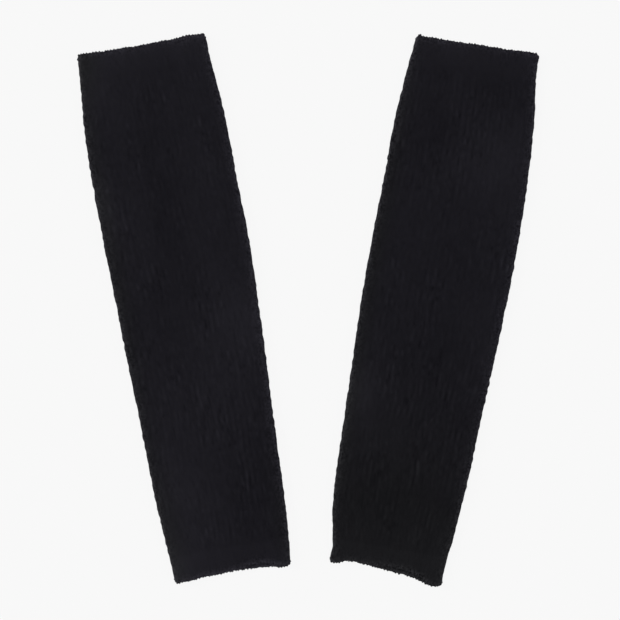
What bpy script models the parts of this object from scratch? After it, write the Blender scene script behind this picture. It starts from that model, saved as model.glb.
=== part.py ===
"""A pair of knitted leg warmers, laid flat side by side. Blender 4.5, metres, +Z up.

Each leg warmer is three knitted tubes joined end to end: the ribbed leg, and a plain cuff at the
knee and at the ankle. Every tube lies flat: its back panel rests on the surface, its front panel
lies on the back one, and the cloth turns over in a soft round fold at each side.

A leg warmer has its own frame: x runs across it, y runs up it from the ankle to the knee, and z is
up. An empty places that frame in the pair, whose origin is under the middle of the pair's box.
"""

import math
from typing import NamedTuple

import bmesh
import bpy
from mathutils import Vector

MM = 0.001

# Driving sizes, in mm.
WALL = 2.2  # thickness of the knitted cloth
PANEL_GAP = 0.6  # between the two panels where they lie on each other
FOLD_HEIGHT = 6.0  # over the round fold at each side, where the knit springs back a little
FOLD_REACH = 0.3  # share of the half width over which the front panel comes up to the fold
SEAM_GAP = 0.3  # between two pieces that are joined
KNEE_SEAM = 191.5  # y of the seam between the leg and the knee cuff
ANKLE_SEAM = -199.5  # y of the seam between the leg and the ankle cuff
HEM_ROUND = 2.4  # length of cuff over which its turned edge rounds off
HEM_INSET = 0.7  # how far the rounded edge draws in at its end

FLAT_HEIGHT = 2 * WALL + PANEL_GAP
FOLD_RADIUS = FOLD_HEIGHT / 2

# How finely the tubes are divided.
SPANS_ACROSS = 16  # of each panel
SPANS_ROUND_A_FOLD = 6
LEG_RING_SPACING = 21.0  # mm
CUFF_RINGS = 3  # from the seam to where the hem starts to round

KNIT_BLACK = (0.012, 0.011, 0.014, 1.0)
KNIT_ROUGHNESS = 0.9


class Width(NamedTuple):
    """How far the cloth reaches to each side at one height, in mm."""

    y: float
    left: float
    right: float


class Hem(NamedTuple):
    """Where the two ends of the tube lie, at one share of the half width, in mm."""

    share: float
    knee: float
    ankle: float


class Peep(NamedTuple):
    """A stretch of hem where the front panel lies short of the back one, whose inside shows."""

    middle: float  # share of the half width
    reach: float  # share of the half width, to each side
    depth: float  # mm


class Swell(NamedTuple):
    """A soft rise or hollow in the front panel, in mm."""

    x: float
    y: float
    half_width: float
    half_length: float
    rise: float


class LegWarmer(NamedTuple):
    name: str
    middle: tuple  # x and y of its own origin in the pair, in mm
    lean: float  # degrees, anticlockwise from above
    widths: list
    hems: list
    knee_peep: Peep
    ankle_peep: Peep
    swells: list


LEFT = LegWarmer(
    name="left",
    middle=(-97.3, 5.9),
    lean=10.0,
    widths=[
        Width(210, -51.4, 51.3),
        Width(195, -52.2, 51.8),
        Width(163, -55.1, 54.5),
        Width(131, -57.0, 56.2),
        Width(99, -57.2, 56.3),
        Width(35, -56.1, 57.7),
        Width(3, -55.1, 56.6),
        Width(-29, -54.7, 55.6),
        Width(-93, -52.8, 52.6),
        Width(-125, -52.2, 51.3),
        Width(-157, -51.3, 50.0),
        Width(-177, -50.0, 49.4),
        Width(-189, -48.9, 47.9),
        Width(-205, -48.0, 46.9),
        Width(-219, -47.3, 45.4),
    ],
    hems=[
        Hem(-1.0, 209.7, -218.9),
        Hem(-0.88, 209.8, -219.1),
        Hem(-0.7, 209.3, -218.5),
        Hem(-0.5, 209.2, -217.7),
        Hem(-0.3, 209.1, -217.8),
        Hem(0.0, 208.8, -217.2),
        Hem(0.3, 209.2, -217.7),
        Hem(0.55, 209.5, -218.6),
        Hem(0.7, 210.3, -219.2),
        Hem(0.8, 210.6, -220.6),
        Hem(0.91, 210.2, -221.8),
        Hem(1.0, 209.1, -220.5),
    ],
    knee_peep=Peep(0.72, 0.28, 2.2),
    ankle_peep=Peep(0.54, 0.44, 3.2),
    swells=[
        Swell(24, -20, 24, 70, 0.9),
        Swell(-30, 150, 20, 40, 0.6),
        Swell(-8, 70, 24, 60, -0.3),
        Swell(-20, -120, 20, 50, 0.7),
    ],
)

RIGHT = LegWarmer(
    name="right",
    middle=(100.0, 5.0),
    lean=-10.0,
    widths=[
        Width(210, -49.5, 48.5),
        Width(195, -51.3, 48.8),
        Width(163, -54.2, 53.4),
        Width(131, -55.7, 55.9),
        Width(99, -55.7, 57.4),
        Width(35, -56.9, 58.2),
        Width(3, -57.0, 57.2),
        Width(-29, -56.2, 56.0),
        Width(-93, -54.2, 52.9),
        Width(-125, -53.2, 52.1),
        Width(-157, -52.2, 50.0),
        Width(-189, -48.7, 47.5),
        Width(-203, -45.0, 45.1),
        Width(-214, -45.4, 45.1),
        Width(-220, -46.8, 45.1),
    ],
    hems=[
        Hem(-1.0, 209.2, -217.4),
        Hem(-0.86, 209.7, -215.9),
        Hem(-0.72, 209.8, -213.3),
        Hem(-0.54, 209.4, -213.5),
        Hem(-0.3, 209.5, -214.5),
        Hem(0.0, 209.9, -215.9),
        Hem(0.4, 210.1, -217.4),
        Hem(0.62, 210.5, -219.1),
        Hem(0.76, 210.9, -220.8),
        Hem(0.88, 211.5, -222.6),
        Hem(1.0, 210.8, -220.8),
    ],
    knee_peep=Peep(-0.74, 0.26, 2.0),
    ankle_peep=Peep(0.30, 0.62, 4.2),
    swells=[
        Swell(30, 130, 22, 50, 0.8),
        Swell(-28, -60, 22, 60, 0.7),
        Swell(6, 40, 24, 60, -0.3),
        Swell(12, -150, 24, 40, 0.6),
    ],
)


def smooth_through(rows, at):
    """The other columns of a table at one value of its first, on a smooth curve through the rows.

    Each stretch is a cubic whose slope at a row is that of the line through the rows beside it.
    """
    rows = sorted(rows)
    at = min(max(at, rows[0][0]), rows[-1][0])
    i = next(k for k in range(len(rows) - 1) if at <= rows[k + 1][0])
    before, start, end, after = (rows[min(max(k, 0), len(rows) - 1)] for k in range(i - 1, i + 3))
    span = end[0] - start[0]
    t = (at - start[0]) / span
    found = []
    for column in range(1, len(start)):
        slope_start = (end[column] - before[column]) / (end[0] - before[0]) * span
        slope_end = (after[column] - start[column]) / (after[0] - start[0]) * span
        found.append(
            (1 + 2 * t) * (1 - t) ** 2 * start[column]
            + t * (1 - t) ** 2 * slope_start
            + t * t * (3 - 2 * t) * end[column]
            - t * t * (1 - t) * slope_end
        )
    return found


def soft_bump(distance):
    """1 at no distance, falling smoothly to 0 at a distance of 1."""
    return (1 - distance * distance) ** 2 if abs(distance) < 1 else 0.0


def flat_bump(distance):
    """As soft_bump, but staying near 1 over the middle half."""
    return (1 - distance**4) ** 2 if abs(distance) < 1 else 0.0


def front_height(leg, x, y, share):
    """How high the outer face of the front panel lies: low in the middle, higher at the folds."""
    toward_fold = max(0.0, (abs(share) - 1 + FOLD_REACH) / FOLD_REACH)
    height = FLAT_HEIGHT + (FOLD_HEIGHT - FLAT_HEIGHT) * toward_fold**2 * (3 - 2 * toward_fold)
    inside = soft_bump(share)
    for swell in leg.swells:
        away = math.hypot((x - swell.x) / swell.half_width, (y - swell.y) / swell.half_length)
        height += swell.rise * soft_bump(away) * inside
    return height


def ring(leg, y_of, inset):
    """One ring of points round the tube: along the back panel, up the right fold, back along the
    front panel and down the left fold. y_of(share, is_front) is the height up the leg of a point,
    and inset is how far the ring lies inside the outer face of the cloth.
    """
    points = []
    radius = FOLD_RADIUS - inset

    def add(share, is_front, turn=None):
        y = y_of(share, is_front)
        left, right = smooth_through(leg.widths, y)
        middle, half = (left + right) / 2, (right - left) / 2 - FOLD_RADIUS
        x = middle + share * half
        if turn is not None:
            points.append((x + radius * math.cos(turn), y, FOLD_RADIUS + radius * math.sin(turn)))
        elif is_front:
            points.append((x, y, front_height(leg, x, y, share) - inset))
        else:
            points.append((x, y, inset))

    shares = [-1 + 2 * k / SPANS_ACROSS for k in range(SPANS_ACROSS + 1)]
    quarter = math.pi / 2
    turns = [math.pi * k / SPANS_ROUND_A_FOLD for k in range(1, SPANS_ROUND_A_FOLD)]
    for share in shares:
        add(share, False)
    for turn in turns:
        add(1.0, turn > quarter, turn - quarter)
    for share in reversed(shares):
        add(share, True)
    for turn in turns:
        add(-1.0, turn < quarter, turn + quarter)
    return points


def level(y):
    """The ring lies straight across the leg at this y."""
    return lambda share, is_front: y


def toward_hem(leg, end, seam, travelled, short_of=0.0):
    """The ring lies between a straight seam and the curved hem of the knee or the ankle, at this
    share of the way, and this many mm short of the hem."""
    peep = leg.knee_peep if end == "knee" else leg.ankle_peep
    inward = -1 if end == "knee" else 1

    def y_of(share, is_front):
        knee, ankle = smooth_through(leg.hems, share)
        hem = knee if end == "knee" else ankle
        if is_front:
            hem += inward * peep.depth * flat_bump((share - peep.middle) / peep.reach)
        return seam + travelled * (hem + inward * short_of - seam)

    return y_of


def wall_between(name, rings_outer, rings_inner):
    """A closed tube of cloth: an outer skin, an inner skin, and a rim that joins them at each end."""
    form = bmesh.new()
    skins = []
    for rings in (rings_outer, rings_inner):
        skins.append([[form.verts.new(Vector(point) * MM) for point in points] for points in rings])

    def strip(first, second):
        for k in range(len(first)):
            after = (k + 1) % len(first)
            form.faces.new((first[k], first[after], second[after], second[k]))

    for rings in skins:
        for first, second in zip(rings, rings[1:]):
            strip(first, second)
    for at in (0, -1):
        strip(skins[0][at], skins[1][at])
    bmesh.ops.recalc_face_normals(form, faces=form.faces)
    mesh = bpy.data.meshes.new(name)
    form.to_mesh(mesh)
    form.free()
    mesh.shade_smooth()
    mesh.set_sharp_from_angle(angle=math.radians(50))
    made = bpy.data.objects.new(name, mesh)
    bpy.context.scene.collection.objects.link(made)
    return made


def leg_tube(leg):
    """The ribbed leg, between the two cuff seams."""
    low, high = ANKLE_SEAM + SEAM_GAP / 2, KNEE_SEAM - SEAM_GAP / 2
    spans = round((high - low) / LEG_RING_SPACING)
    heights = [level(low + (high - low) * k / spans) for k in range(spans + 1)]
    outer, inner = ([ring(leg, y_of, inset) for y_of in heights] for inset in (0.0, WALL))
    return wall_between(f"{leg.name}_leg", outer, inner)


def cuff_tube(leg, end):
    """The plain cuff at the knee or the ankle, from its seam to its turned, rounded hem."""
    seam = KNEE_SEAM + SEAM_GAP / 2 if end == "knee" else ANKLE_SEAM - SEAM_GAP / 2
    steps = [(k / CUFF_RINGS, HEM_ROUND * k / CUFF_RINGS, 0.0) for k in range(CUFF_RINGS + 1)]
    steps.append((1.0, 0.0, HEM_INSET))
    outer, inner = [], []
    for travelled, short_of, inset in steps:
        y_of = toward_hem(leg, end, seam, travelled, short_of)
        outer.append(ring(leg, y_of, inset))
        inner.append(ring(leg, y_of, WALL))
    return wall_between(f"{leg.name}_{end}_cuff", outer, inner)


def knit_material(name):
    material = bpy.data.materials.new(name)
    material.use_nodes = True
    shader = material.node_tree.nodes["Principled BSDF"]
    shader.inputs["Base Color"].default_value = KNIT_BLACK
    shader.inputs["Roughness"].default_value = KNIT_ROUGHNESS
    shader.inputs["Metallic"].default_value = 0.0
    return material


def clear_scene():
    for old in list(bpy.data.objects):
        bpy.data.objects.remove(old)


def build_leg_warmer(leg, rib_knit, plain_knit):
    """The three tubes of one leg warmer, held by an empty that sets its place and its lean."""
    frame = bpy.data.objects.new(f"{leg.name}_leg_warmer", None)
    bpy.context.scene.collection.objects.link(frame)
    frame.location = (leg.middle[0] * MM, leg.middle[1] * MM, 0.0)
    frame.rotation_euler = (0.0, 0.0, math.radians(leg.lean))
    pieces = [
        (leg_tube(leg), rib_knit),
        (cuff_tube(leg, "knee"), plain_knit),
        (cuff_tube(leg, "ankle"), plain_knit),
    ]
    for piece, knit in pieces:
        piece.data.materials.append(knit)
        piece.parent = frame


def main():
    clear_scene()
    rib_knit = knit_material("rib_knit")
    plain_knit = knit_material("plain_knit")
    for leg in (LEFT, RIGHT):
        build_leg_warmer(leg, rib_knit, plain_knit)


main()
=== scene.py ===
"""The finish of a pair of knitted leg warmers that lie flat, side by side. Blender 4.5.

Each leg warmer is a ribbed leg between two plain cuffs. Its knit is a thin shell on the form of the
CAD solids, which rays feel out, so every piece lies where the CAD says. The script works in mm in a
leg warmer's own frame: x across it, y up it from the ankle to the knee, z up, turned about the
pair's origin by the leg warmer's lean. A place on a tube is its share u round it, from 0 to 1, its
height y, and its depth inside the outer face.
"""

import math
from typing import NamedTuple

import bpy
import numpy as np
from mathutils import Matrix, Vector
from mathutils.bvhtree import BVHTree


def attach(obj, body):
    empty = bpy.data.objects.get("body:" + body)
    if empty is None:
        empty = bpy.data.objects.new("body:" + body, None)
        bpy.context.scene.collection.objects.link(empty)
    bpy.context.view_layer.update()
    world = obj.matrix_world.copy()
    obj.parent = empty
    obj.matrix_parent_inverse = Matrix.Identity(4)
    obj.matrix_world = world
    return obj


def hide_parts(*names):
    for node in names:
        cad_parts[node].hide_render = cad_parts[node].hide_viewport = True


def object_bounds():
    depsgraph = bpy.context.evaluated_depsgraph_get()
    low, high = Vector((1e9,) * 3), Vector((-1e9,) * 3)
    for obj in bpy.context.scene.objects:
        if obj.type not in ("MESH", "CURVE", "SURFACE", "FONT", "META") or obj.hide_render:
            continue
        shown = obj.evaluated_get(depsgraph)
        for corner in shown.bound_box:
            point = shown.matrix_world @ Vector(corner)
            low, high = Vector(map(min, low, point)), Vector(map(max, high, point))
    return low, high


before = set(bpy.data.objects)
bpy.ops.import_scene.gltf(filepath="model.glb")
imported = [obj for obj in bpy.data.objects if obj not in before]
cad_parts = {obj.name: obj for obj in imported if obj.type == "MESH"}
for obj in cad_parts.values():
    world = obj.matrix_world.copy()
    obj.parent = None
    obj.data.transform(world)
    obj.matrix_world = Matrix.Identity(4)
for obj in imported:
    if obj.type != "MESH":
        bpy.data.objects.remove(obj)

CAD_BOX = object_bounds()
MM = 0.001
LEANS = {"left": 10.0, "right": -10.0}  # degrees, anticlockwise from above
SEEDS = {"left": 11, "right": 47}

# The cloth, in mm.
WALL = 2.2  # its thickness, as in the CAD
RIBS = 48  # all round a leg, the same from ankle to knee
WALES = 4 * RIBS  # lines of stitches: a rib is two knitted and two purled
COURSES = 460  # rows of stitches over a leg warmer's length
RIB_DEPTH = 0.40  # from a rib's crest to the groove beside it
RIB_ROUNDNESS = 0.8  # the power of the cosine across a rib: below 1 its crest is broad
RIB_WANDER, RIB_SHAKE = 0.24, 0.06  # of a rib's pitch, to each side: slowly, and over a few mm
RIB_FADE = {"ankle": 9.0, "knee": 13.0}  # length over which the ribs die out at a seam
SEAM_FADE = 2.5  # length over which the plain knit's lightness does
PURL_BELOW, PURL_BLEND = 0.62, 0.2  # the crest height where purled stitches start, and its span
PUFF = 0.28  # how far a rib swells and sinks along its length
PUFF_LENGTH = (5.8, 8.2)  # from one swelling to the next
PUFF_UNEVEN = 0.4  # share of it that comes and goes
STROKE = 0.25  # how far the raised strands stand on a crest
STROKE_LENGTH = 4.0  # of one strand
GAPS_TO_A_STROKE = 1.2  # how often a groove opens and shuts in that length
STROKE_WIDTH = 0.24  # of a rib's pitch
KNOT = 0.30  # how far the yarn's thick places stand out
KNOT_SIZE = (2.3, 3.9)  # across and along
BOLDNESS, BOLDNESS_UNEVEN = 0.9, 0.5  # the root of how strong the strands and knots are
ANKLE_BOLDER = 0.12  # how much more of it there is at the ankle than at the knee
BOLD_STROKE, BOLD_KNOT = 1.5, 0.6  # what it gives the strands and the knots on the ribs
PLAIN_SINK = 0.25  # how far the plain face lies below the highest yarn
UNEVEN = 0.10  # of the face everywhere, over a few mm
LIE_UNEVEN = 0.4  # of the front panel, over a few centimetres
SIDE_STAND = 0.85  # how far the yarn stands out past the form, at the folds
HEM_STAND = 0.65  # the same at the hems
HEM_CORNER = 2.8  # radius of a hem's corners
HEM_UNEVEN = 0.35  # how far a hem waves in and out
FOLD_UNEVEN = 0.26  # how far a fold does

# The bind-off loops over each hem, and the loose fibres.
LOOP_PITCH = 2.4
LOOP_YARN = 0.66  # radius
LOOP_REACH = 1.0  # down each face from the hem
LOOP_OVER = 0.62  # share of a loop's half length that passes over the hem
LOOP_SINK = 0.9  # into the face, at a loop's ends
LOOP_NEST = (0.1, 0.15)  # how much less round a loop's path is than the hem, past it and across
LOOP_SHIFT = 0.25  # of the pitch, to each side
LOOP_BULK, LOOP_TAPER = (0.8, 1.2), 0.45  # how big a loop is, and how much thinner at its ends
LOOP_SLANT = 1.3  # how far a loop moves on round the tube
LOOP_STEPS, LOOP_SIDES = 9, 8
LOOP_LIGHT = 0.9  # how much lighter or darker than the rest a loop may be
FIBRES = 4200  # on a leg warmer
FIBRE_LENGTH, FIBRE_RADIUS = (0.6, 1.7), 0.035
FIBRE_SINK = 0.1  # how deep in the face a fibre starts
FIBRE_LEAN = (0.4, 1.5)  # sideways for each mm up
FIBRE_BEND = 0.35  # of its length, sideways
FIBRE_SPAN, FIBRE_FROM_HEM = (0.004, 0.996), 1.5  # shares of the length, and no nearer a hem
FIBRE_CLEAR = 0.05  # over the floor
FIBRE_STEPS, FIBRE_TAPER, FIBRE_SIDES = (0.0, 0.55, 1.0), (1.0, 0.8, 0.3), 3
NEXT_U = 0.001  # a small step round the tube, to find which way it goes

# The light. A lamp's share is the brightness that it gives a white sheet on the floor.
ROOM_SEEN, ROOM_LIGHT = 0.939, 0.45
FLOOR_SIZE, FLOOR_GLOW = 40.0, 0.91  # half its side in metres, and the light that it gives off
# Name, share, azimuth, elevation and width, in degrees.
LAMPS = (("left_lamp", 0.36, 160.0, 30.0, 35.0), ("right_lamp", 0.16, -10.0, 32.0, 35.0))

# The camera: the width that it sees, its place from the pair's origin, in metres, and its lens.
FIELD, OFF_CENTRE = 0.4952, (0.00145, 0.0002)
FOCAL, SENSOR = 100.0, 36.0

# The yarn's colour, linear. Its lightness runs from 0, dark, to 1, light, and past it up to LIGHTEST.
LIGHTEST = 2.0
DARK_YARN, LIGHT_YARN = (0.0048, 0.0044, 0.0064, 1.0), (0.0320, 0.0304, 0.0392, 1.0)
GREY_TINT = (0.95, 1.0, 0.85, 1.0)  # what multiplies it where the cloth is greyer, less violet

# How light the knit's features are painted, on a scale of which half goes into that lightness:
# painted highlight where the yarn stands out, painted shade in the open grooves, the plain knit
# painted lighter than the ribs for the groove shade that it lacks, and the inner face painted
# lighter. Loops and fibres carry their own tone on it. Cloth that nothing changes is at 0.5.
PLAIN_PAINTED_LIGHT = {"ankle": 0.25, "knee": 0.1}  # painted light: how much lighter the plain knit is than the ribs
UNEVEN_SHADING = 0.15
KNOT_SHADING = 0.06  # of the knots in the plain knit
RIB_KNOT_SHADING = 0.10  # and of those on the ribs, besides
CREST_SHADING, CREST_SHADING_BOLD = 0.11, 0.37  # of crests over grooves, everywhere and where bold
CREST_MEAN = 0.6  # the height on a crest where the ribs change nothing
GROOVE_SHUT, GROOVE_OPEN = 0.05, 1.6  # what share of that shows by a shut groove, by an open one
GROOVE_POWER = 1.6  # how late it shows as a groove opens
PUFF_SHADING = 0.08
STROKE_SHADING = 0.31
FIBRE_LIGHT = 0.6
INSIDE_PAINTED_LIGHT = 0.75

# How finely the cloth is divided.
COLUMNS = 8 * RIBS
KNIT_ROWS = {"rib_knit": (222, 24), "plain_knit": (46, 8)}  # up the outer face and the inner one
RIM_ROWS = 5

# Where the cloth is painted lighter or darker: a painted highlight along each fold and over each
# hem's turned edge, painted light and shade along each hem, and a slight random tone.
NAP_UNEVEN = 0.04
FOLD_HIGHLIGHT, FOLD_HIGHLIGHT_REACH = 0.8, 2.4
HEM_SHADING_REACH, HEM_EDGE_REACH = 6.0, 2.8  # of the band along a hem, and of its turned edge
HEM_SHADING = {"left": {"ankle": -0.13, "knee": 0.47}, "right": {"ankle": -0.13, "knee": 0.2}}
HEM_EDGE_HIGHLIGHT = {"left": {"ankle": 1.22, "knee": 0.57}, "right": {"ankle": 0.88, "knee": 0.68}}
BACK_EDGE, BACK_PATCHES = 1.6, -0.6  # the back panel's share of the painted highlight on the turned edge and of the painted patches
FRINGE_REACH = 3.0  # the loose yarn along the folds and hems is speckled

# The yarn and its stitches as bump and colour. Scales are waves to the metre, heights are metres.
FIBRES_SEEN, BARE_FIBRES_SEEN, TUFTS, CLUMPS = 2200.0, 2600.0, 420.0, 620.0
STITCH_HEIGHT, FIBRE_HEIGHT, TUFT_HEIGHT, BARE_FIBRE_HEIGHT = 0.00022, 0.00016, 0.0001, 0.0003
# The stitches are painted lighter where their yarn rises and darker between, as painted shade.
STITCH_SHADING, FIBRE_SHADE, DETAIL_MEAN = 0.1, 0.3, 0.05
STITCH_SPECK, CLUMP_SPECK, BARE_YARN_SPECK = 1.7, 5.2, 4.0
V_LEAN, V_WANDER = 0.75, 0.5  # of a course: how far up a knitted stitch's outer ends are
BAR_ARC, BAR_WANDER = 0.22, 0.4  # how far a purled bar's middle is, and how unevenly they lie
YARN_FULL, LEG_FULL = 0.7, 0.6  # powers of a sine: below 1 the yarn looks full
BUMP_STRENGTH = 0.8


class Patch(NamedTuple):
    """A soft patch: where it lies from the leg warmer's middle and how far it reaches, in mm, and
    how much it adds there."""

    x: float
    y: float
    half_width: float
    half_length: float
    change: float


LIGHT_AND_SHADE_PATCHES = {  # painted light and shade, partly the lie of the surface fibres: where the front panel is lighter or darker
    "left": (
        Patch(-46, 190, 22, 22, 0.22),
        Patch(-18, 206, 12, 10, 0.10),
        Patch(9, 152, 16, 20, -0.07),
        Patch(44, 128, 12, 22, -0.07),
        Patch(-50, 94, 9, 28, 0.30),
        Patch(-4, 88, 14, 92, -0.14),
        Patch(46, 60, 6, 200, -0.06),
        Patch(-44, 30, 6, 120, -0.05),
        Patch(12, 14, 10, 20, -0.05),
        Patch(-20, 10, 18, 40, -0.08),
        Patch(36, -16, 20, 30, 0.27),
        Patch(4, -72, 36, 22, 0.06),
        Patch(38, -106, 14, 46, -0.06),
        Patch(-32, -158, 22, 46, 0.26),
        Patch(33, -162, 21, 44, -0.19),
        Patch(-46, -203, 14, 14, 0.38),
        Patch(-46, -182, 7, 9, 0.12),
        Patch(-20, -167, 16, 10, -0.06),
        Patch(40, -173, 11, 12, 0.10),
        Patch(43, -197, 7, 8, -0.08),
        Patch(-22, -211, 18, 7, 0.11),
    ),
    "right": (
        Patch(-16, 206, 18, 10, 0.10),
        Patch(22, 182, 20, 16, -0.11),
        Patch(0, 150, 20, 20, -0.05),
        Patch(-24, 142, 18, 26, -0.14),
        Patch(26, 126, 28, 26, 0.21),
        Patch(4, 92, 22, 26, -0.08),
        Patch(14, 36, 10, 16, -0.06),
        Patch(-40, 20, 10, 14, 0.05),
        Patch(-10, 30, 20, 30, -0.07),
        Patch(-28, 2, 12, 20, -0.05),
        Patch(8, -50, 24, 50, -0.13),
        Patch(-46, -73, 14, 22, 0.28),
        Patch(38, -90, 18, 36, -0.15),
        Patch(-42, -132, 12, 18, -0.06),
        Patch(2, -148, 40, 34, -0.18),
        Patch(40, -152, 12, 18, -0.07),
        Patch(-12, -206, 26, 7, 0.06),
    ),
}
WHOLE_LIGHTNESS = {"left": 0.0, "right": -0.055}  # how much lighter or darker the whole leg warmer is
GREYED = {  # where the cloth is greyer, less violet
    "left": (
        Patch(-54, 0, 9, 400, 0.8),
        Patch(-46, 212, 12, 26, 0.8),
        Patch(-44, -186, 10, 60, 0.6),
        Patch(46, -190, 10, 50, 0.5),
    ),
    "right": (Patch(-54, 0, 9, 400, 0.8), Patch(0, -240, 90, 125, 1.7)),
}

FAR = 1000.0  # mm off the pair's origin, where a ray starts


def soften(values, reach, axis=0):
    """Values along one axis, each replaced by the mean of those near it, weighted by a bell curve
    whose standard deviation is reach steps. Past an end the values carry on as a point reflection."""
    steps = np.arange(-3 * math.ceil(reach), 3 * math.ceil(reach) + 1)
    weights = np.exp(-0.5 * (steps / reach) ** 2)
    weights /= weights.sum()
    values = np.moveaxis(values, axis, 0)
    pad = [(len(steps) // 2, len(steps) // 2)] + [(0, 0)] * (values.ndim - 1)
    padded = np.pad(values, pad, mode="reflect", reflect_type="odd")
    soft = sum(w * padded[k : k + len(values)] for k, w in enumerate(weights))
    return np.moveaxis(soft, 0, axis)


def smoothstep(t):
    """0 up to 0, 1 from 1 on, and 3t^2 - 2t^3 between."""
    t = np.clip(t, 0, 1)
    return t * t * (3 - 2 * t)


def bilinear(grid, a, b):
    """The grid's value at fractional places a down it and b across it, on straight lines between."""
    a = np.clip(a, 0, grid.shape[0] - 1.001)
    b = np.clip(b, 0, grid.shape[1] - 1.001)
    i, j = a.astype(int), b.astype(int)
    s, t = a - i, b - j
    near = grid[i, j] * (1 - t) + grid[i, j + 1] * t
    far = grid[i + 1, j] * (1 - t) + grid[i + 1, j + 1] * t
    return near * (1 - s) + far * s


class Noise:
    """Random heights from -1 to 1 on a grid of cells round and along a tube, joined smoothly. The
    grid closes round the tube."""

    def __init__(self, seed, around, along):
        heights = np.random.default_rng(seed).uniform(-1, 1, (around, along + 1))
        self.heights = np.concatenate([heights, heights[:1]])
        self.around, self.along = around, along

    def at(self, u, v):
        """The height at shares u round the tube and v along it."""
        a, b = (u % 1.0) * self.around, np.clip(v, 0, 1) * self.along
        i, j = np.floor(a), np.floor(b)
        return bilinear(self.heights, i + smoothstep(a - i), j + smoothstep(b - j))

    def on(self, line, v):
        """The heights of one line of cells along the tube, joined smoothly along it only."""
        b = np.clip(v, 0, 1) * self.along
        j = np.floor(b)
        return bilinear(self.heights, line, j + smoothstep(b - j))


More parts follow.
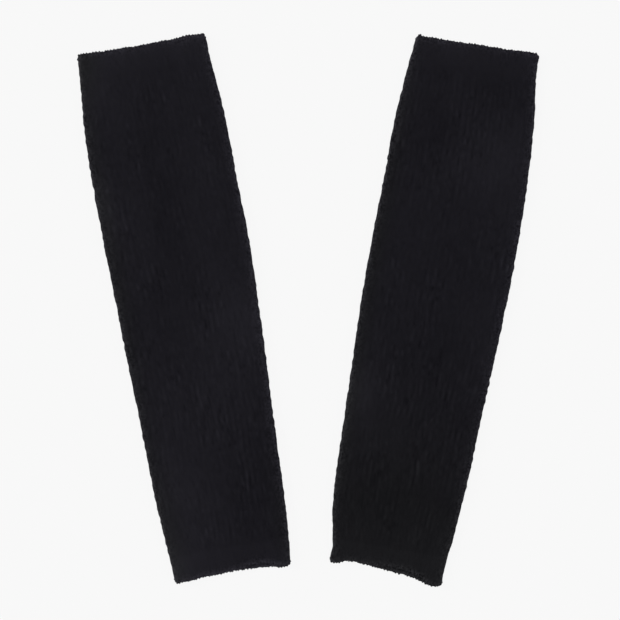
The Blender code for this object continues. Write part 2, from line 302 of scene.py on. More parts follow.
class Leg:
    """One leg warmer's form, felt from its CAD solids with rays."""

    SIDE_RAYS = 120
    HEM_RAYS = 121
    TOP_RAYS = (61, 150)  # across and along
    HEM_RAY_DEPTH = 0.75 * WALL  # below the folds' top, where the front panel's hem is felt
    SIDE_SOFTNESS = 5.0  # mm
    HEM_SOFTNESS = 1.6
    TOP_SOFTNESS = 6.0
    HEM_CLEAR = 3.0  # the sides are read no nearer to a hem, and run on straight from there
    CORNER_LEVEL, CORNER_INSET = 12.0, 1.5  # where a corner of a hem is felt for

    def __init__(self, name, lean, seed):
        self.name, self.seed = name, seed
        turn = math.radians(lean)
        self.turn = np.array([[math.cos(turn), -math.sin(turn)], [math.sin(turn), math.cos(turn)]])
        nodes = [f"{name}_{part}" for part in ("ankle_cuff", "leg", "knee_cuff")]
        meshes = [self.mesh_of(node) for node in nodes]
        self.solid = self.tree_of(meshes)
        every = np.concatenate([points for points, _ in meshes])
        leg_points = meshes[1][0]
        self.low, self.high = every[:, 1].min(), every[:, 1].max()
        self.seams = {"ankle": leg_points[:, 1].min(), "knee": leg_points[:, 1].max()}
        self.radius = every[:, 2].max() / 2
        self.read_sides()
        self.read_hems()
        self.read_top()
        length, girth = self.high - self.low, self.girth_over(self.low, self.high, 50)
        # Each noise with its numbers of cells round the tube and along it.
        self.lie = Noise(seed, 9, 14)
        self.drift = Noise(seed + 1, 9, 26)
        self.swell = Noise(seed + 2, 60, 60)
        self.grain = Noise(seed + 3, 260, 300)
        self.strokes = Noise(seed + 5, RIBS, round(length / STROKE_LENGTH))
        self.gaps = Noise(seed + 6, RIBS, round(GAPS_TO_A_STROKE * length / STROKE_LENGTH))
        self.tint = Noise(seed + 7, 12, 16)
        self.hem_wave = Noise(seed + 8, 92, 1)
        self.knots = Noise(seed + 9, round(girth / KNOT_SIZE[0]), round(length / KNOT_SIZE[1]))
        self.bold = Noise(seed + 10, 16, 18)
        self.fold_wave = Noise(seed + 12, 40, 165)
        draw = np.random.default_rng(seed + 4)
        self.puff_phase = draw.uniform(0, 2 * math.pi, RIBS)
        self.puff_length = draw.uniform(*PUFF_LENGTH, RIBS)

    def mesh_of(self, node):
        """A CAD node's points in this frame, in mm, and its triangles."""
        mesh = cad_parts[node].data
        points = np.empty(len(mesh.vertices) * 3)
        mesh.vertices.foreach_get("co", points)
        points = points.reshape(-1, 3) / MM
        points[:, :2] = points[:, :2] @ self.turn
        return points, [tuple(face.vertices) for face in mesh.polygons]

    @staticmethod
    def tree_of(meshes):
        """What rays can be cast on, from the points and the triangles of several meshes."""
        points, faces, before = [], [], 0
        for found, triangles in meshes:
            points += [Vector(point) for point in found]
            faces += [tuple(before + k for k in triangle) for triangle in triangles]
            before = len(points)
        return BVHTree.FromPolygons(points, faces)

    def feel(self, starts, direction):
        """How far along each ray, all of one direction, the solid lies. A ray that passes through a
        gap takes its value from the rays beside it."""
        casts = [self.solid.ray_cast(Vector(start), Vector(direction)) for start in starts]
        found = np.array([distance or np.nan for *_, distance in casts])
        met = np.flatnonzero(~np.isnan(found))
        return np.interp(np.arange(len(found)), met, found[met])

    def side_at(self, heights, way):
        """How far the cloth reaches at each height, felt from the side with rays that go this way."""
        starts = [(-way * FAR, y, self.radius) for y in heights]
        return way * (self.feel(starts, (way, 0, 0)) - FAR)

    def read_sides(self):
        """How far the cloth reaches to the left and the right at each height.

        The heights run between the two hems' corners on that side, each felt along a ray a little
        inside the side as it is somewhat further in from the hem.
        """
        self.sides = {}
        for side, way in (("left", 1), ("right", -1)):
            ends = []
            for level, along in ((self.low, 1), (self.high, -1)):
                x = self.side_at([level + self.CORNER_LEVEL * along], way)[0]
                x = x + self.CORNER_INSET * way
                hem = self.feel([(x, -along * FAR, self.radius)], (0, along, 0))[0] - FAR
                ends.append(along * (hem + self.HEM_CLEAR))
            felt = np.linspace(*ends, self.SIDE_RAYS)
            soft = soften(self.side_at(felt, way), self.SIDE_SOFTNESS / (felt[1] - felt[0]))
            self.sides[side] = self.run_on(felt, soft)

    @staticmethod
    def run_on(heights, reaches, steps=4):
        """Heights and how far the side reaches there, each run on straight at both ends."""
        made = []
        for values in (heights, reaches):
            before, after = 2 * values[0] - values[steps], 2 * values[-1] - values[-1 - steps]
            made.append(np.concatenate([[before], values, [after]]))
        return made

    def across(self, y):
        """The middle of the tube and half the width of its flat part, at each height."""
        left, right = (np.interp(y, *self.sides[side]) for side in ("left", "right"))
        return (left + right) / 2, (right - left) / 2 - self.radius

    def girth_over(self, low, high, heights):
        """The mean girth between two heights, taken at so many: 4h + 2 pi r, where the flats are 2h
        long and the folds are half circles of radius r."""
        half = self.across(np.linspace(low, high, heights))[1].mean()
        return 4 * half + 2 * math.pi * self.radius

    def read_hems(self):
        """Where the front and the back panel end, at the ankle and the knee, at each share across."""
        self.shares = np.linspace(-1, 1, self.HEM_RAYS)
        self.hems = {}
        for end, y_far, way in (("ankle", -FAR, 1), ("knee", FAR, -1)):
            middle, half = self.across(self.low if end == "ankle" else self.high)
            for panel, z in (("back", WALL / 2), ("front", 2 * self.radius - self.HEM_RAY_DEPTH)):
                starts = [(middle + share * half, y_far, z) for share in self.shares]
                y = y_far + way * self.feel(starts, (0, way, 0))
                self.hems[end, panel] = soften(y, self.HEM_SOFTNESS / (half * 2 / self.HEM_RAYS))

    def read_top(self):
        """The height of the front panel's outer face, over its shares across and its heights."""
        across, along = self.TOP_RAYS
        self.top_heights = np.linspace(self.seams["ankle"], self.seams["knee"], along)
        middle, half = self.across(self.top_heights)
        rows = []
        for share in np.linspace(-1, 1, across):
            starts = np.stack([middle + share * half, self.top_heights, np.full(along, FAR)], axis=1)
            rows.append(FAR - self.feel(starts, (0, 0, -1)))
        width, length = 2 * half.mean() / across, self.top_heights[1] - self.top_heights[0]
        smooth_across = soften(np.array(rows), self.TOP_SOFTNESS / width, 0)
        self.top = soften(smooth_across, self.TOP_SOFTNESS / length, 1)

    def top_at(self, share, y):
        """The front panel's height, with the slight unevenness in which the knit lies."""
        span = (y - self.top_heights[0]) / (self.top_heights[-1] - self.top_heights[0])
        rows, columns = self.top.shape
        height = bilinear(self.top, (share + 1) / 2 * (rows - 1), span * (columns - 1))
        inside = np.clip(1 - share**2, 0, 1)
        return height + LIE_UNEVEN * inside * self.lie.at((share + 1) / 2, self.along(y))

    def along(self, y):
        """Height as a share of the whole leg warmer's length."""
        return (y - self.low) / (self.high - self.low)

    def section(self, u, y):
        """The section at height y, followed evenly by u: along the back panel to the right, up the
        right fold, along the front panel to the left, and down the left fold.

        The flats are 2h long and the folds are half circles of radius r, so u covers 4h + 2 pi r.
        It gives the distance gone, the length of a flat and of a fold, the tube's middle, and h.
        """
        middle, half = self.across(y)
        half = half + SIDE_STAND
        flat, arc = 2 * half, math.pi * self.radius
        return (u % 1.0) * (2 * flat + 2 * arc), flat, arc, middle, half

    def share_of(self, u, y):
        """Where a place lies across the tube, from -1 to 1 over the flats, and how far it has turned
        from the back panel, 0, to the front panel, 1."""
        run, flat, arc = self.section(u, y)[:3]
        right = np.clip((run - flat) / arc, 0, 1)
        left = np.clip((run - 2 * flat - arc) / arc, 0, 1)
        on_front = (run > flat + arc) & (run < 2 * flat + arc)
        share = np.where(on_front, 1 - 2 * (run - flat - arc) / flat, 2 * run / flat - 1)
        share = np.where((run >= flat) & (run <= flat + arc), 1.0, share)
        share = np.where(run >= 2 * flat + arc, -1.0, share)
        return share, smoothstep(right) - smoothstep(left)

    def place(self, u, y, depth):
        """The point at share u round the tube, height y and depth inside its outer face.

        On the back panel z is the depth, on the front panel it is the panel's height less the depth,
        and on a fold the point lies on a half circle whose radius is less by the depth.
        """
        run, flat, arc, middle, half = self.section(u, y)
        radius = self.radius - depth
        share = np.clip(1 - 2 * (run - flat - arc) / flat, -1, 1)
        turn_right = (run - flat) / self.radius - math.pi / 2
        turn_left = (run - 2 * flat - arc) / self.radius + math.pi / 2
        where = [run < flat, run < flat + arc, run < 2 * flat + arc]
        x = np.select(
            where,
            [middle - half + run, middle + half + radius * np.cos(turn_right), middle + share * half],
            middle - half + radius * np.cos(turn_left),
        )
        z = np.select(
            where,
            [depth, self.radius + radius * np.sin(turn_right), self.top_at(share, y) - depth],
            self.radius + radius * np.sin(turn_left),
        )
        return np.stack(np.broadcast_arrays(x, y, z), axis=-1)

    def hem_at(self, end, u):
        """The height of the hem at share u round: that of the back or the front panel, with a round
        corner of radius c at each side, which draws it back by c (1 - sqrt(1 - t^2))."""
        nominal = np.full_like(u, self.low if end == "ankle" else self.high)
        share, turned = self.share_of(u, nominal)
        back = np.interp(share, self.shares, self.hems[end, "back"])
        front = np.interp(share, self.shares, self.hems[end, "front"])
        middle, half = self.section(u, nominal)[-2:]
        x = self.place(u, nominal, np.zeros_like(u))[..., 0]
        t = np.clip((np.abs(x - middle) - (half + self.radius - HEM_CORNER)) / HEM_CORNER, 0, 1)
        inward = 1 if end == "ankle" else -1
        corner = HEM_CORNER * (1 - np.sqrt(np.clip(1 - t * t, 0, 1)))
        wave = HEM_UNEVEN * self.hem_wave.at(u, 0.0 if end == "ankle" else 1.0)
        return back * (1 - turned) + front * turned + inward * (corner + wave - HEM_STAND)

    @staticmethod
    def plain_painted_light(y):
        """How much lighter than the ribs the plain knit is painted, for the groove shade that it
        lacks, at this end of the leg warmer.
        """
        return np.where(y > 0, PLAIN_PAINTED_LIGHT["knee"], PLAIN_PAINTED_LIGHT["ankle"])

    def plain_at(self, u, y):
        """How far the plain face lies below the highest yarn, how light it is painted, and how much
        of it is purled, which is nothing.

        The first two are slightly uneven at three scales, in step, so that the yarn is painted
        lighter where it stands out and darker where it sinks, and the first waves along the folds
        too. The plain knit is also painted lighter than the ribs, for the groove shade that it lacks.
        """
        v = self.along(y)
        uneven = 0.5 * self.swell.at(u, v) + 0.5 * self.grain.at(u, v)
        knot = self.knots.at(u, v)
        shading_and_tone = 0.5 + self.plain_painted_light(y) + UNEVEN_SHADING * uneven + KNOT_SHADING * knot
        turned = self.share_of(u, y)[1]
        fold = 4 * turned * (1 - turned)  # 1 at the outermost of a fold, 0 on the panels
        stands = UNEVEN * uneven + 0.5 * KNOT * knot + FOLD_UNEVEN * fold * self.fold_wave.at(u, v)
        return PLAIN_SINK - stands, shading_and_tone, 0 * knot

    def ribs_at(self, u, y):
        """The same for the ribbed face, whose lightness is painted highlight and shade that follow
        its relief.

        Across a rib its height is a power of a cosine. Each rib wanders a little to the sides, and
        swells and sinks along its length on a sine wave of its own length and start. Strands stand
        on its crest, on a narrow bell curve: their noise is squared, its sign kept, so strong ones
        are rare. The grooves between the ribs are shut in places. The ribs die out towards the
        seams, and the plain knit's lightness dies out just past them.
        """
        v = self.along(y)
        place = u * RIBS + RIB_WANDER * self.drift.at(u, v) + RIB_SHAKE * self.swell.at(u, v)
        rib, groove = np.floor(place) % RIBS, np.round(place) % RIBS
        across = place % 1.0 - 0.5
        crest = np.abs(np.cos(math.pi * across)) ** RIB_ROUNDNESS
        ridge = np.exp(-((across / STROKE_WIDTH) ** 2))
        gap = 0.5 + 0.5 * self.gaps.on(groove, v)  # from 0, shut, to 1, open
        bold = (BOLDNESS + BOLDNESS_UNEVEN * self.bold.at(u, v) + ANKLE_BOLDER * (0.5 - v)) ** 2
        stroke = self.strokes.on(rib, v)
        stroke = BOLD_STROKE * bold * stroke * np.abs(stroke)
        line = rib.astype(int)
        wave = np.sin(2 * math.pi * y / self.puff_length[line] + self.puff_phase[line])
        puff = wave * (1 - PUFF_UNEVEN + PUFF_UNEVEN * self.swell.at(u, v))
        above, below = y - self.seams["ankle"], self.seams["knee"] - y
        fade = smoothstep(above / RIB_FADE["ankle"]) * smoothstep(below / RIB_FADE["knee"])
        settled = smoothstep(np.minimum(above, below) / SEAM_FADE)
        plain_depth, plain_shading, purl = self.plain_at(u, y)
        purl = purl + fade * smoothstep((PURL_BELOW - crest) / PURL_BLEND)
        knot = BOLD_KNOT * self.knots.at(u, v) * bold
        relief = PUFF * puff * crest + STROKE * stroke * ridge + KNOT * knot
        relief = relief - RIB_DEPTH * (1 - crest) * gap
        # Painted highlight on crests, swellings, strands and knots, and painted shade in the grooves,
        # the more as a groove opens.
        shown = (CREST_SHADING + CREST_SHADING_BOLD * bold) * (crest - CREST_MEAN)
        shading_and_tone = shown * (GROOVE_SHUT + GROOVE_OPEN * gap**GROOVE_POWER) + PUFF_SHADING * puff * crest
        shading_and_tone = shading_and_tone + STROKE_SHADING * stroke * ridge + RIB_KNOT_SHADING * knot
        shading_and_tone = plain_shading + fade * shading_and_tone - settled * self.plain_painted_light(y)
        return plain_depth - fade * relief, shading_and_tone, purl

    @staticmethod
    def patches_at(patches, x, y):
        """The sum of soft patches, each a product of two bell curves."""
        total = 0.0
        for patch in patches:
            reach = ((x - patch.x) / patch.half_width) ** 2 + ((y - patch.y) / patch.half_length) ** 2
            total = total + patch.change * np.exp(-reach)
        return total

    def looks_at(self, u, y):
        """How much lighter or darker the cloth is painted, around 0, with a slight random tone, how
        much greyer it is, and how much loose, speckled yarn there is.

        The first is a sum of soft patches of painted light and shade, partly the lie of the surface
        fibres; of a band along each fold, a painted highlight, and along each hem, painted light and
        shade, which falls off exponentially; of a narrow painted highlight over each turned hem, on a
        bell curve;
        and of slight noise.
        The back panel has the front's patches the other way. The last falls off exponentially from
        the nearest fold or hem.
        """
        middle, half = self.across(y)
        point = self.place(u, y, 0.0)
        x, high = point[..., 0] - middle, point[..., 2] > self.radius
        from_middle = y - (self.low + self.high) / 2
        # Painted light and shade in soft patches, partly the lie of the surface fibres.
        patches = self.patches_at(LIGHT_AND_SHADE_PATCHES[self.name], x, from_middle)
        tone_and_painted_light = WHOLE_LIGHTNESS[self.name] + NAP_UNEVEN * self.tint.at(u, self.along(y))
        tone_and_painted_light = tone_and_painted_light + patches * np.where(high, 1, BACK_PATCHES)
        from_fold = half + self.radius - np.abs(x)
        # A painted highlight along each fold.
        tone_and_painted_light += FOLD_HIGHLIGHT * np.exp(-from_fold / FOLD_HIGHLIGHT_REACH)
        fringe = np.exp(-from_fold / FRINGE_REACH)
        for end, away in (("ankle", 1), ("knee", -1)):
            from_hem = np.maximum(away * (y - self.hem_at(end, u)), 0)
            # Painted light and shade along each hem, and a painted highlight over its turned edge.
            tone_and_painted_light += HEM_SHADING[self.name][end] * np.exp(-from_hem / HEM_SHADING_REACH)
            edge = np.exp(-((from_hem / HEM_EDGE_REACH) ** 2))
            tone_and_painted_light += HEM_EDGE_HIGHLIGHT[self.name][end] * edge * np.where(high, 1, BACK_EDGE)
            fringe = np.maximum(fringe, np.exp(-from_hem / FRINGE_REACH))
        greyed = self.patches_at(GREYED[self.name], x, from_middle)
        return {"tone_and_painted_light": tone_and_painted_light, "greyed": np.clip(greyed, 0, 1), "fringe": np.clip(fringe, 0, 1)}

    def to_pair(self, points):
        """Points of this frame in the pair's, in metres. What would be under the floor is flattened
        on it."""
        turned = self.turned(points)
        turned[..., 2] = np.maximum(turned[..., 2], 0)
        return turned * MM

    def turned(self, vectors):
        """Vectors of this frame in the pair's."""
        turned = np.array(vectors)
        turned[..., :2] = vectors[..., :2] @ self.turn.T
        return turned


def rim(rows):
    """The rounded end of a wall, as shares of its thickness and of how far it bulges: a half circle
    from the outer face to the inner one, in this many steps without its two ends."""
    turn = np.linspace(0, math.pi, rows + 2)[1:-1]
    return 0.5 * (1 - np.cos(turn)), np.sin(turn)


def tube(leg, lower, upper, rows, inner_rows, relief, rounds):
    """A closed wall of cloth round the tube, on a grid of u by a line that goes up the outer face,
    over the upper rim, down the inner face and round the lower rim.

    lower and upper give the heights of the two ends at each u. rounds are the radii, along the
    tube, of the lower and the upper rim: a rim of radius r starts r short of its end and bulges over
    it on a half circle, squeezed to that radius. A radius of 0 leaves the end square.
    """
    u = np.arange(COLUMNS) / COLUMNS
    ends = np.stack([lower(u) + rounds[0], upper(u) - rounds[1]])
    bend, bulge = rim(RIM_ROWS)
    up, down = np.linspace(0, 1, rows), np.linspace(1, 0, inner_rows)
    rest = np.zeros(RIM_ROWS)
    share = np.concatenate([up, rest + 1, down, rest])
    over, under = rounds[1] * bulge, -rounds[0] * bulge
    past = np.concatenate([np.zeros(rows), over, np.zeros(inner_rows), under])
    inward = np.concatenate([np.zeros(rows), bend, np.ones(inner_rows), 1 - bend])
    y = ends[0] + share[:, None] * (ends[1] - ends[0]) + past[:, None]
    u = np.broadcast_to(u, y.shape)
    sunk, shading_and_tone, purl = relief(u, y)
    depth = sunk * (1 - inward[:, None]) + WALL * inward[:, None]
    points = leg.to_pair(leg.place(u, y, depth))
    # The inner face and the rims are painted lighter, a painted highlight.
    shading_and_tone = shading_and_tone * (1 - inward[:, None]) + INSIDE_PAINTED_LIGHT * inward[:, None]
    layers = {"shading_and_tone": shading_and_tone, "purl": purl} | leg.looks_at(u, y)
    return points, np.stack([u, leg.along(y)], axis=-1), layers


def grid_faces(rows, columns):
    """The corners of the faces of a grid that closes both ways, four to a face."""
    i, j = np.meshgrid(np.arange(rows), np.arange(columns), indexing="ij")
    after_i, after_j = (i + 1) % rows, (j + 1) % columns
    corners = [(i, j), (after_i, j), (after_i, after_j), (i, after_j)]
    return np.stack([a * columns + b for a, b in corners], axis=-1).reshape(-1, 4)


def make_mesh(name, points, face_groups, layers=None, uv=None):
    """A smooth mesh object at the origin from arrays of points and of faces. Each group of faces is
    an array with the corners of one face in a row."""
    mesh = bpy.data.meshes.new(name)
    corners = np.concatenate([group.ravel() for group in face_groups])
    sizes = np.concatenate([np.full(len(group), group.shape[1]) for group in face_groups])
    mesh.vertices.add(len(points))
    mesh.vertices.foreach_set("co", points.astype(np.float32).ravel())
    mesh.loops.add(len(corners))
    mesh.loops.foreach_set("vertex_index", corners.astype(np.int32))
    mesh.polygons.add(len(sizes))
    mesh.polygons.foreach_set("loop_start", (np.cumsum(sizes) - sizes).astype(np.int32))
    for layer, values in (layers or {}).items():
        stored = mesh.attributes.new(layer, "FLOAT", "POINT")
        stored.data.foreach_set("value", values.astype(np.float32).ravel())
    if uv is not None:
        mesh.uv_layers.new(name="Knit").data.foreach_set("uv", uv.astype(np.float32).ravel())
    mesh.update(calc_edges=True)
    mesh.validate()
    mesh.shade_smooth()
    made = bpy.data.objects.new(name, mesh)
    bpy.context.scene.collection.objects.link(made)
    return made


def make_tube(name, points, places, layers, sharp_rows):
    """The tube's mesh, with its place round and along the knit as UV. The faces that close the ring
    have 1 added where u starts again from 0, so that no stitch runs back across them."""
    rows, columns = places.shape[:2]
    faces = grid_faces(rows, columns)
    uv = places.reshape(-1, 2)[faces]
    wraps = (uv[..., 0].max(axis=1) - uv[..., 0].min(axis=1)) > 0.5
    uv[..., 0] += wraps[:, None] & (uv[..., 0] < 0.5)
    made = make_mesh(name, points.reshape(-1, 3), [faces], layers, uv)
    ends = np.empty(len(made.data.edges) * 2, dtype=np.int32)
    made.data.edges.foreach_get("vertices", ends)
    row = ends.reshape(-1, 2) // columns
    sharp = (row[:, 0] == row[:, 1]) & np.isin(row[:, 0], sharp_rows)
    made.data.attributes.new("sharp_edge", "BOOLEAN", "EDGE").data.foreach_set("value", sharp)
    return made


def unit(vectors):
    """The vectors, each made 1 long."""
    return vectors / np.linalg.norm(vectors, axis=-1, keepdims=True)


def strands(paths, across, radii, sides):
    """Round strands of yarn, all at once. paths is an array of strands by steps by points.

    Round each step lies a ring of this many points, at radius r from the path: path + r (cos a n +
    sin a m), where n is square to the path and nearest to across, and m is square to both.
    """
    count, steps = paths.shape[:2]
    along = unit(np.gradient(paths, axis=1))
    n = unit(across - (across * along).sum(axis=-1, keepdims=True) * along)
    m = np.cross(along, n)
    a = 2 * math.pi * np.arange(sides) / sides
    ring = np.cos(a)[:, None] * n[:, :, None] + np.sin(a)[:, None] * m[:, :, None]
    points = paths[:, :, None] + radii[..., None, None] * ring
    index = np.arange(count * steps * sides).reshape(count, steps, sides)
    following = np.roll(index, -1, axis=2)
    walls = np.stack([index[:, :-1], following[:, :-1], following[:, 1:], index[:, 1:]], axis=-1)
    ends = np.concatenate([index[:, 0, ::-1], index[:, -1]])
    return points.reshape(-1, 3), [walls.reshape(-1, 4), ends]


def make_strands(name, paths, across, radii, sides, layers, material):
    """Strands as a piece. What would be under the floor is flattened on it."""
    points, faces = strands(paths, across, radii, sides)
    points[:, 2] = np.maximum(points[:, 2], 0)
    each = {layer: np.repeat(values, sides) for layer, values in layers.items()}
    return finish_piece(make_mesh(name, points, faces, each), material, None)


def make_loops(leg, end, material):
    """The bind-off: slanting loops of yarn that pass over the hem from one face to the other.

    A loop goes straight up the outer face, over the rim on a half circle, and down the inner face,
    and moves on evenly round the tube as it goes. It is thickest in the middle.
    """
    inward = 1 if end == "ankle" else -1
    level = leg.low if end == "ankle" else leg.high
    girth = leg.girth_over(level, level, 1)
    count = round(girth / LOOP_PITCH)
    draw = np.random.default_rng(leg.seed + (21 if end == "ankle" else 22))
    step = np.linspace(-1, 1, LOOP_STEPS)
    straight = 1 - np.clip((1 - np.abs(step)) / (1 - LOOP_OVER), 0, 1)
    u = (np.arange(count) + LOOP_SHIFT * draw.uniform(-1, 1, count))[:, None] / count
    u = u + 0.5 * LOOP_SLANT / girth * step
    turn = 0.5 * math.pi * np.clip(step / LOOP_OVER, -1, 1)
    bulk = draw.uniform(*LOOP_BULK, (count, 1))
    radius = 0.5 * WALL
    past = (radius - LOOP_NEST[0]) * np.cos(turn) - LOOP_REACH * straight
    depth = radius + (radius - LOOP_NEST[1] - LOOP_SINK * straight**2) * np.sin(turn) + 0 * u
    y = leg.hem_at(end, u) + inward * (radius - past * bulk)
    paths = leg.place(u, y, depth)
    ahead = unit(leg.place(u + NEXT_U, y, depth) - paths)
    radii = LOOP_YARN * bulk * (1 - LOOP_TAPER + LOOP_TAPER * np.cos(0.5 * math.pi * step))
    light = 0.5 + LOOP_LIGHT * draw.uniform(-1, 1, (count, 1)) + 0 * u
    layers = {"shading_and_tone": light} | leg.looks_at(u, y)
    name, across = f"{leg.name}_{end}_hem_loops", leg.turned(ahead)
    return make_strands(name, leg.to_pair(paths), across, radii * MM, LOOP_SIDES, layers, material)


def make_fibres(leg, material):
    """Loose fibres that stand off the face. Each leaves it at a slant and bends on a parabola: at
    share t of its length L it is L (t (out + lean side) / sqrt(1 + lean^2) + bend t^2 side) away."""
    draw = np.random.default_rng(leg.seed + 31)
    u = draw.uniform(0, 1, (FIBRES, 1))
    v = draw.uniform(*FIBRE_SPAN, (FIBRES, 1))
    y = leg.low + v * (leg.high - leg.low)
    hems = [leg.hem_at(end, u) for end in ("ankle", "knee")]
    y = np.clip(y, hems[0] + FIBRE_FROM_HEM, hems[1] - FIBRE_FROM_HEM)
    ribbed = (y > leg.seams["ankle"]) & (y < leg.seams["knee"])
    sunk = np.where(ribbed, leg.ribs_at(u, y)[0], leg.plain_at(u, y)[0])
    base = leg.place(u, y, sunk + FIBRE_SINK)
    out = unit(base - leg.place(u, y, sunk + FIBRE_SINK + 0.5))
    ahead = unit(leg.place(u + NEXT_U, y, sunk + FIBRE_SINK) - base)
    up = np.cross(out, ahead)
    length = draw.uniform(*FIBRE_LENGTH, (FIBRES, 1, 1))
    way = draw.uniform(0, 2 * math.pi, (FIBRES, 1, 1))
    lean = draw.uniform(*FIBRE_LEAN, (FIBRES, 1, 1))
    side = np.cos(way) * ahead + np.sin(way) * up
    step = np.array(FIBRE_STEPS)[None, :, None]
    straight = step * (out + lean * side) / np.sqrt(1 + lean**2)
    paths = base + length * (straight + FIBRE_BEND * step**2 * side)
    paths[..., 2] = np.maximum(paths[..., 2], FIBRE_CLEAR)
    radii = FIBRE_RADIUS * np.array(FIBRE_TAPER) * np.ones((FIBRES, 1))
    layers = {"shading_and_tone": FIBRE_LIGHT + 0 * radii}
    layers |= {name: values + 0 * radii for name, values in leg.looks_at(u, y).items()}
    sideways = leg.turned(np.broadcast_to(up, paths.shape))
    name = f"{leg.name}_loose_fibres"
    paths = leg.to_pair(paths)
    return make_strands(name, paths, sideways, radii * MM, FIBRE_SIDES, layers, material)


def finish_piece(piece, material, node):
    """Gives a piece its material and its body, and hides the CAD node that it stands for, if any."""
    piece.data.materials.append(material)
    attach(piece, "root")
    if node:
        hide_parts(node)
    return piece


class Value:
    """A shader socket that takes part in Python expressions: each adds its Math node."""

    def __init__(self, nodes, socket):
        self.nodes, self.socket = nodes, socket

    def math(self, operation, *others):
        """A Math node of this operation, on this value and the others."""
        inputs = dict(enumerate((self, *others)))
        return self.nodes.add("ShaderNodeMath", {"operation": operation}, inputs).out()

    def __add__(self, other):
        return self.math("ADD", other)

    def __sub__(self, other):
        return self.math("SUBTRACT", other)

    def __rsub__(self, other):
        return self * -1.0 + other

    def __mul__(self, other):
        return self.math("MULTIPLY", other)

    def __truediv__(self, other):
        return self.math("DIVIDE", other)

    def __pow__(self, other):
        return self.math("POWER", other)

    __radd__, __rmul__ = __add__, __mul__


class Added:
    """A node that was added, whose outputs are read by name or number."""

    def __init__(self, nodes, node):
        self.nodes, self.node = nodes, node

    def out(self, name=0):
        return Value(self.nodes, self.node.outputs[name])


class Nodes:
    """A material's node tree, emptied, with one way to add a node."""

    def __init__(self, material):
        material.use_nodes = True
        self.tree = material.node_tree
        self.tree.nodes.clear()

    def add(self, kind, settings=None, inputs=None):
        """A node of this kind, with its settings, and its sockets given numbers or linked."""
        node = self.tree.nodes.new(kind)
        for name, value in (settings or {}).items():
            setattr(node, name, value)
        for name, value in (inputs or {}).items():
            if isinstance(value, Value):
                self.tree.links.new(value.socket, node.inputs[name])
            else:
                node.inputs[name].default_value = value
        return Added(self, node)

    def attribute(self, name):
        """What the mesh stores under this name."""
        return self.add("ShaderNodeAttribute", {"attribute_name": name}).out("Fac")

    def noise(self, where, scale, detail):
        """Noise of this many waves to the metre and this many finer octaves."""
        inputs = {"Vector": where, "Scale": scale, "Detail": detail}
        return self.add("ShaderNodeTexNoise", {}, inputs).out(0)

    def mix_colour(self, share, first, second, blend="MIX"):
        """The first colour, blended with the second by this share."""
        settings = {"data_type": "RGBA", "blend_type": blend}
        return self.add("ShaderNodeMix", settings, {0: share, 6: first, 7: second}).out(2)


def yarn_look(nodes, detail, speck, height):
    """Matt dark yarn. Its lightness is the sum of what its mesh stores, the painted highlight and
    shade of the knit's relief with the tone of loops and fibres, and the painted light and shade of
    the panels, folds and hems with a slight random tone, of this detail and, along the folds and
    hems, of this speck, around 0; where the mesh marks it greyer, it is nearer to grey. height is its
    bump."""
    speckle = speck * nodes.attribute("fringe")
    shade = nodes.attribute("shading_and_tone") * 0.5 + nodes.attribute("tone_and_painted_light") + detail + speckle
    share = (shade / LIGHTEST).math("MINIMUM", 1.0).math("MAXIMUM", 0.0)
    colour = nodes.mix_colour(share, DARK_YARN, LIGHT_YARN)
    colour = nodes.mix_colour(nodes.attribute("greyed"), colour, GREY_TINT, "MULTIPLY")
    lie = {"Strength": BUMP_STRENGTH, "Distance": 1.0, "Height": height}
    bump = nodes.add("ShaderNodeBump", {}, lie).out()
    look = {"Base Color": colour, "Roughness": 0.92, "Specular IOR Level": 0.05, "Normal": bump}
    look |= {"Sheen Weight": 0.03, "Sheen Roughness": 0.45, "Sheen Tint": (0.86, 0.84, 1.0, 1.0)}
    shader = nodes.add("ShaderNodeBsdfPrincipled", {}, look)
    nodes.add("ShaderNodeOutputMaterial", {}, {0: shader.out()})


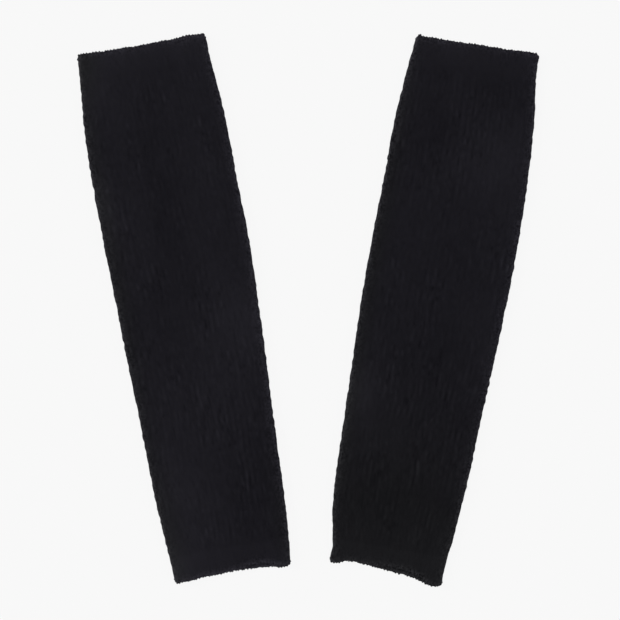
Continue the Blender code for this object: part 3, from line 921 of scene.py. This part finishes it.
def knit_material(name):
    """Knitted yarn: V-shaped stitches, or the bars of purled ones, and loose fibres between.

    A wale is two legs of stitches that lean up and out from its middle, each a row of sine lobes,
    one to a course. Purled bars are the same lobes on an arc across the wale.
    """
    material = bpy.data.materials.new(name)
    nodes = Nodes(material)
    place = nodes.add("ShaderNodeUVMap", {"uv_map": "Knit"}).out()
    split = nodes.add("ShaderNodeSeparateXYZ", {}, {0: place})
    wale, course = split.out(0) * WALES, split.out(1) * COURSES
    where = nodes.add("ShaderNodeTexCoord").out("Object")
    fibre = nodes.noise(where, FIBRES_SEEN, 3.0)
    tuft = nodes.noise(where, TUFTS, 2.0)

    side = (wale.math("FRACT") - 0.5).math("ABSOLUTE") * 2.0
    lean = course + side * V_LEAN + tuft * V_WANDER
    lobe = (lean * (2 * math.pi)).math("SINE") * 0.5 + 0.5
    leg_of_stitch = (side * math.pi).math("SINE").math("MAXIMUM", 0.0) ** LEG_FULL
    knitted = lobe**YARN_FULL * leg_of_stitch
    arc = (wale * (2 * math.pi)).math("COSINE") * BAR_ARC
    bar = course + arc + tuft * BAR_WANDER
    purled = ((bar * (2 * math.pi)).math("SINE") * 0.5 + 0.5) ** YARN_FULL
    purl = nodes.attribute("purl")
    stitch = knitted * (1 - purl) + purled * purl
    # One cell to each leg of a stitch, each with a lightness of its own.
    cell = {0: (wale * 2.0).math("FLOOR"), 1: (course - side * 0.25).math("FLOOR")}
    cell = nodes.add("ShaderNodeCombineXYZ", {}, cell).out()
    own = nodes.add("ShaderNodeTexWhiteNoise", {}, {"Vector": cell}).out(0)
    clump = nodes.noise(where, CLUMPS, 1.0)
    speck = (own - 0.5) * STITCH_SPECK + (clump - 0.5) * CLUMP_SPECK
    # The stitches are painted lighter where their yarn rises and darker between, as painted shade;
    # the fibres vary at random.
    detail = stitch * STITCH_SHADING + fibre * FIBRE_SHADE - DETAIL_MEAN
    height = stitch * STITCH_HEIGHT + fibre * FIBRE_HEIGHT + tuft * TUFT_HEIGHT
    yarn_look(nodes, detail, speck, height)
    return material


def bare_yarn_material():
    """Strands too small for stitches."""
    material = bpy.data.materials.new("bare_yarn")
    nodes = Nodes(material)
    where = nodes.add("ShaderNodeTexCoord").out("Object")
    fibre = nodes.noise(where, BARE_FIBRES_SEEN, 3.0)
    clump = nodes.noise(where, CLUMPS, 1.0)
    detail, speck = fibre * FIBRE_SHADE - DETAIL_MEAN, (clump - 0.5) * BARE_YARN_SPECK
    yarn_look(nodes, detail, speck, fibre * BARE_FIBRE_HEIGHT)
    return material


def build_leg_warmer(leg, knits, yarn):
    """A leg warmer's pieces, by part: two cuffs with a rounded hem, the leg between their seams,
    where its ends are square, the loops over the hems and the fibres."""

    def hem(end):
        return lambda u: leg.hem_at(end, u)

    def seam(end):
        return lambda u: np.full_like(u, leg.seams[end])

    bulge = WALL / 2
    parts = (
        ("ankle_cuff", "plain_knit", hem("ankle"), seam("ankle"), leg.plain_at, (bulge, 0)),
        ("leg", "rib_knit", seam("ankle"), seam("knee"), leg.ribs_at, (0, 0)),
        ("knee_cuff", "plain_knit", seam("knee"), hem("knee"), leg.plain_at, (0, bulge)),
    )
    made = {}
    for part, knit, lower, upper, relief, rounds in parts:
        rows, inner_rows = KNIT_ROWS[knit]
        points, places, layers = tube(leg, lower, upper, rows, inner_rows, relief, rounds)
        corners = [[0, rows + RIM_ROWS + inner_rows - 1], [rows - 1, rows + RIM_ROWS]]
        sharp = [row for at_end, r in zip(corners, rounds) if not r for row in at_end]
        node = f"{leg.name}_{part}"
        piece = make_tube(f"{node}_knit", points, places, layers, sharp)
        made[part] = finish_piece(piece, knits[knit], node)
    made["ankle_loops"] = make_loops(leg, "ankle", yarn)
    made["knee_loops"] = make_loops(leg, "knee", yarn)
    made["fibres"] = make_fibres(leg, yarn)
    return made


def declare_cloth(leg, made):
    """Works out each tube's mean girth and mean length, and does nothing more with them."""
    u = np.arange(COLUMNS) / COLUMNS
    ankle_hem, knee_hem = (leg.hem_at(end, u).mean() for end in ("ankle", "knee"))
    sheets = (
        ("leg", leg.seams["ankle"], leg.seams["knee"], "fibres"),
        ("ankle_cuff", ankle_hem, leg.seams["ankle"], "ankle_loops"),
        ("knee_cuff", leg.seams["knee"], knee_hem, "knee_loops"),
    )
    for part, low, high, extra in sheets:
        girth = leg.girth_over(low, high, 20)
        girth * MM
        (high - low) * MM


def make_floor():
    """A pale sheet of paper, a tenth of a millimetre under the pair. It gives off most of its light
    itself, so that the pair hardly shades it."""
    points = np.array([(-1, -1, 0), (1, -1, 0), (1, 1, 0), (-1, 1, 0)]) * FLOOR_SIZE
    floor = make_mesh("floor", points - [0, 0, 0.1 * MM], [np.array([[0, 1, 2, 3]])])
    material = bpy.data.materials.new("pale_paper")
    nodes = Nodes(material)
    look = {"Base Color": (0.03, 0.03, 0.03, 1.0), "Roughness": 1.0, "Specular IOR Level": 0.0}
    look |= {"Emission Color": (1.0, 1.0, 1.0, 1.0), "Emission Strength": FLOOR_GLOW}
    shader = nodes.add("ShaderNodeBsdfPrincipled", {}, look)
    nodes.add("ShaderNodeOutputMaterial", {}, {0: shader.out()})
    floor.data.materials.append(material)


def make_light():
    """A pale room, dimmer as a light than it looks, and soft lamps low on both sides. A lamp of
    share b at elevation e has the strength b pi / sin e."""
    world = bpy.data.worlds.new("studio")
    world.use_nodes = True
    nodes = Nodes(world)
    seen = nodes.add("ShaderNodeLightPath").out("Is Camera Ray")
    strength = seen * (ROOM_SEEN - ROOM_LIGHT) + ROOM_LIGHT
    white = {"Color": (1.0, 1.0, 1.0, 1.0), "Strength": strength}
    background = nodes.add("ShaderNodeBackground", {}, white)
    nodes.add("ShaderNodeOutputWorld", {}, {0: background.out()})
    bpy.context.scene.world = world
    for name, share, azimuth, elevation, spread in LAMPS:
        light = bpy.data.lights.new(name, "SUN")
        a, e = math.radians(azimuth), math.radians(elevation)
        light.energy, light.angle = share * math.pi / math.sin(e), math.radians(spread)
        lamp = bpy.data.objects.new(name, light)
        toward = Vector((math.cos(a) * math.cos(e), math.sin(a) * math.cos(e), math.sin(e)))
        lamp.rotation_euler = toward.to_track_quat("Z", "Y").to_euler()
        bpy.context.scene.collection.objects.link(lamp)


def make_camera():
    """Straight above, looking down, with the pair a little left of the middle. Its height above the
    pair is the field's width times the focal length over the sensor's width."""
    camera = bpy.data.cameras.new("camera")
    camera.lens, camera.sensor_width, camera.clip_end = FOCAL, SENSOR, 100.0
    holder = bpy.data.objects.new("camera", camera)
    holder.location = (*OFF_CENTRE, CAD_BOX[1][2] + FIELD * FOCAL / camera.sensor_width)
    bpy.context.scene.collection.objects.link(holder)
    bpy.context.scene.camera = holder
    bpy.context.scene.view_settings.view_transform = "Standard"


def main():
    make_camera()
    make_light()
    make_floor()
    knits = {name: knit_material(name) for name in KNIT_ROWS}
    yarn = bare_yarn_material()
    for name, lean in LEANS.items():
        leg = Leg(name, lean, SEEDS[name])
        declare_cloth(leg, build_leg_warmer(leg, knits, yarn))


main()
